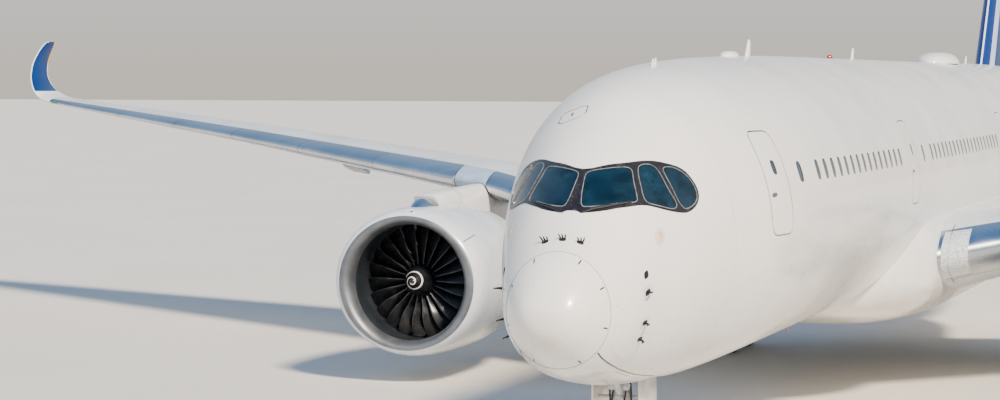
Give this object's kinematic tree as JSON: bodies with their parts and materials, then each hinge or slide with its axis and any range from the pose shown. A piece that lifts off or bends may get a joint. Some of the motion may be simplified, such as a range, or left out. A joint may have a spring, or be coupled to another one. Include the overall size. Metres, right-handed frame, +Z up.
{
  "type": "wide-body twin-engined airliner, 1:2 scale model",
  "caption": "Low-wing twin-engined airliner on its landing gear, with moving flaps, slats, ailerons, rudder, elevators, doors, fans, thrust reversers and steered nose wheels.",
  "frame": {"origin": "on the ground under the middle of the overall length, on the centreline", "axes": "+Y towards the tail, +X towards the port wing tip, +Z up"},
  "size_m": [32.387, 33.4, 8.525],
  "materials": {
    "white_paint": "gloss warm white paint",
    "wing_grey": "satin light grey paint",
    "bare_metal": "polished bare metal skin",
    "blue_paint": "gloss blue paint",
    "dark_surround": "glossy dark surround and panes",
    "core_metal": "heat-tinted nozzle metal",
    "fan_black": "dark satin composite blades",
    "gear_paint": "pale grey landing gear enamel",
    "tyre": "worn black tread rubber"
  },
  "bodies": {
    "root": {"radome": "white_paint", "cockpit_section": "white_paint", "cockpit_windows": "dark_surround", "forward_fuselage": "white_paint", "centre_fuselage": "white_paint", "rear_fuselage": "white_paint", "tail_cone": "white_paint", "belly_fairing": "white_paint", "fin": "blue_paint", "nose_gear_leg": "gear_paint", "left_wing": "wing_grey", "left_winglet": "blue_paint", "left_inlet_cowl": "bare_metal", "left_fan_cowl": "white_paint", "left_engine_core": "core_metal", "left_pylon": "white_paint", "left_tailplane": "wing_grey", "left_main_gear_leg": "gear_paint", "right_wing": "wing_grey", "right_winglet": "blue_paint", "right_inlet_cowl": "bare_metal", "right_fan_cowl": "white_paint", "right_engine_core": "core_metal", "right_pylon": "white_paint", "right_tailplane": "wing_grey", "right_main_gear_leg": "gear_paint"},
    "rudder": {"rudder": "blue_paint"},
    "forward_cargo_door": {"forward_cargo_door": "white_paint"},
    "aft_cargo_door": {"aft_cargo_door": "white_paint"},
    "nose_gear_steering": {"nose_gear_steering": "gear_paint"},
    "nose_wheels": {"nose_wheels": "tyre"},
    "left_spoiler": {"left_spoiler": "wing_grey"},
    "left_inboard_flap": {"left_inboard_flap": "wing_grey"},
    "left_outboard_flap": {"left_outboard_flap": "wing_grey"},
    "left_slats": {"left_slats": "bare_metal"},
    "left_droop_nose": {"left_droop_nose": "bare_metal"},
    "left_aileron": {"left_aileron": "wing_grey"},
    "left_reverser_sleeve": {"left_reverser_sleeve": "white_paint"},
    "left_fan": {"left_fan": "fan_black"},
    "left_elevator": {"left_elevator": "wing_grey"},
    "left_nose_gear_door": {"left_nose_gear_door": "white_paint"},
    "left_main_gear_door": {"left_main_gear_door": "white_paint"},
    "left_front_wheels": {"left_front_wheels": "tyre"},
    "left_rear_wheels": {"left_rear_wheels": "tyre"},
    "right_spoiler": {"right_spoiler": "wing_grey"},
    "right_inboard_flap": {"right_inboard_flap": "wing_grey"},
    "right_outboard_flap": {"right_outboard_flap": "wing_grey"},
    "right_slats": {"right_slats": "bare_metal"},
    "right_droop_nose": {"right_droop_nose": "bare_metal"},
    "right_aileron": {"right_aileron": "wing_grey"},
    "right_reverser_sleeve": {"right_reverser_sleeve": "white_paint"},
    "right_fan": {"right_fan": "fan_black"},
    "right_elevator": {"right_elevator": "wing_grey"},
    "right_nose_gear_door": {"right_nose_gear_door": "white_paint"},
    "right_main_gear_door": {"right_main_gear_door": "white_paint"},
    "right_front_wheels": {"right_front_wheels": "tyre"},
    "right_rear_wheels": {"right_rear_wheels": "tyre"}
  },
  "joints": [
    {"name": "nose_steering", "type": "hinge", "parent": "root", "child": "nose_gear_steering", "pos_m": [0, -14.275, 0.5], "axis": [0, 0, 1], "range_deg": [-72, 72]},
    {"name": "nose_wheel_roll", "type": "hinge", "parent": "nose_gear_steering", "child": "nose_wheels", "pos_m": [0, -14.275, 0.2625], "axis": [1, 0, 0], "continuous": true},
    {"name": "rudder_hinge", "type": "hinge", "parent": "root", "child": "rudder", "pos_m": [0, 13.3425, 6.4625], "axis": [0, 0.3218, 0.9468], "range_deg": [-30, 30]},
    {"name": "left_elevator_hinge", "type": "hinge", "parent": "root", "child": "left_elevator", "pos_m": [2.8125, 14.775, 3.76237], "axis": [-0.9167, -0.386, -0.1038], "range_deg": [-30, 15]},
    {"name": "right_elevator_hinge", "type": "hinge", "parent": "root", "child": "right_elevator", "pos_m": [-2.8125, 14.775, 3.76237], "axis": [-0.9167, 0.386, 0.1038], "range_deg": [-30, 15]},
    {"name": "left_aileron_hinge", "type": "hinge", "parent": "root", "child": "left_aileron", "pos_m": [12.725, 3.52, 3.29119], "axis": [-0.9223, -0.3756, -0.0907], "range_deg": [-25, 25]},
    {"name": "right_aileron_hinge", "type": "hinge", "parent": "root", "child": "right_aileron", "pos_m": [-12.725, 3.52, 3.29119], "axis": [-0.9223, 0.3756, 0.0907], "range_deg": [-25, 25]},
    {"name": "left_inboard_flap_hinge", "type": "hinge", "parent": "root", "child": "left_inboard_flap", "pos_m": [3.3625, 0.35, 1.51737], "axis": [-0.971, 0, -0.2392], "range_deg": [0, 35]},
    {"name": "right_inboard_flap_hinge", "type": "hinge", "parent": "root", "child": "right_inboard_flap", "pos_m": [-3.3625, 0.35, 1.51737], "axis": [-0.971, 0, 0.2392], "range_deg": [0, 35]},
    {"name": "left_outboard_flap_hinge", "type": "hinge", "parent": "root", "child": "left_outboard_flap", "pos_m": [7.675, 1.37, 2.34332], "axis": [-0.9223, -0.3708, -0.109], "range_deg": [0, 35]},
    {"name": "right_outboard_flap_hinge", "type": "hinge", "parent": "root", "child": "right_outboard_flap", "pos_m": [-7.675, 1.37, 2.34332], "axis": [-0.9223, 0.3708, 0.109], "range_deg": [0, 35]},
    {"name": "left_slats_hinge", "type": "hinge", "parent": "root", "child": "left_slats", "pos_m": [10.17, 0.797, 2.69843], "axis": [0.8385, 0.538, 0.0866], "range_deg": [0, 27]},
    {"name": "right_slats_hinge", "type": "hinge", "parent": "root", "child": "right_slats", "pos_m": [-10.17, 0.797, 2.69843], "axis": [0.8385, -0.538, -0.0866], "range_deg": [0, 27]},
    {"name": "left_droop_nose_hinge", "type": "hinge", "parent": "root", "child": "left_droop_nose", "pos_m": [3.3, -3.665, 1.77713], "axis": [0.8088, 0.5661, 0.1593], "range_deg": [0, 25]},
    {"name": "right_droop_nose_hinge", "type": "hinge", "parent": "root", "child": "right_droop_nose", "pos_m": [-3.3, -3.665, 1.77713], "axis": [0.8088, -0.5661, -0.1593], "range_deg": [0, 25]},
    {"name": "left_spoiler_hinge", "type": "hinge", "parent": "root", "child": "left_spoiler", "pos_m": [7.67017, 0.66553, 2.90644], "axis": [0.9223, 0.3743, 0.0962], "range_deg": [0, 50]},
    {"name": "right_spoiler_hinge", "type": "hinge", "parent": "root", "child": "right_spoiler", "pos_m": [-7.67017, 0.66553, 2.90644], "axis": [0.9223, -0.3743, -0.0962], "range_deg": [0, 50]},
    {"name": "forward_cargo_door_hinge", "type": "hinge", "parent": "root", "child": "forward_cargo_door", "pos_m": [-1.45192, -10.5, 2.39], "axis": [-0.0092, 1, 0], "range_deg": [0, 110]},
    {"name": "aft_cargo_door_hinge", "type": "hinge", "parent": "root", "child": "aft_cargo_door", "pos_m": [-1.45132, 6.125, 2.5], "axis": [0.0238, 0.9997, 0], "range_deg": [0, 110]},
    {"name": "left_nose_gear_door_hinge", "type": "hinge", "parent": "root", "child": "left_nose_gear_door", "pos_m": [0.34, -15.15, 1.2845], "axis": [0, -0.9886, 0.1505], "range_deg": [0, 85]},
    {"name": "right_nose_gear_door_hinge", "type": "hinge", "parent": "root", "child": "right_nose_gear_door", "pos_m": [-0.34, -15.15, 1.2845], "axis": [0, 0.9886, -0.1505], "range_deg": [0, 85]},
    {"name": "left_main_gear_door_hinge", "type": "hinge", "parent": "root", "child": "left_main_gear_door", "pos_m": [0.15, 0.1, 0.88], "axis": [0, 1, 0], "range_deg": [0, 60]},
    {"name": "right_main_gear_door_hinge", "type": "hinge", "parent": "root", "child": "right_main_gear_door", "pos_m": [-0.15, 0.1, 0.88], "axis": [0, -1, 0], "range_deg": [0, 60]},
    {"name": "left_fan_spin", "type": "hinge", "parent": "root", "child": "left_fan", "pos_m": [5.21, -5.225, 1.315], "axis": [0, 1, 0], "continuous": true},
    {"name": "right_fan_spin", "type": "hinge", "parent": "root", "child": "right_fan", "pos_m": [-5.21, -5.225, 1.315], "axis": [0, -1, 0], "continuous": true},
    {"name": "left_front_wheel_roll", "type": "hinge", "parent": "root", "child": "left_front_wheels", "pos_m": [2.65, -0.455, 0.35], "axis": [1, 0, 0], "continuous": true},
    {"name": "right_front_wheel_roll", "type": "hinge", "parent": "root", "child": "right_front_wheels", "pos_m": [-2.65, -0.455, 0.35], "axis": [1, 0, 0], "continuous": true},
    {"name": "left_rear_wheel_roll", "type": "hinge", "parent": "root", "child": "left_rear_wheels", "pos_m": [2.65, 0.565, 0.35], "axis": [1, 0, 0], "continuous": true},
    {"name": "right_rear_wheel_roll", "type": "hinge", "parent": "root", "child": "right_rear_wheels", "pos_m": [-2.65, 0.565, 0.35], "axis": [1, 0, 0], "continuous": true},
    {"name": "left_reverser_slide", "type": "slide", "parent": "root", "child": "left_reverser_sleeve", "axis": [0, 1, 0], "range_m": [0, 0.3]},
    {"name": "right_reverser_slide", "type": "slide", "parent": "root", "child": "right_reverser_sleeve", "axis": [0, 1, 0], "range_m": [0, 0.3]}
  ]
}
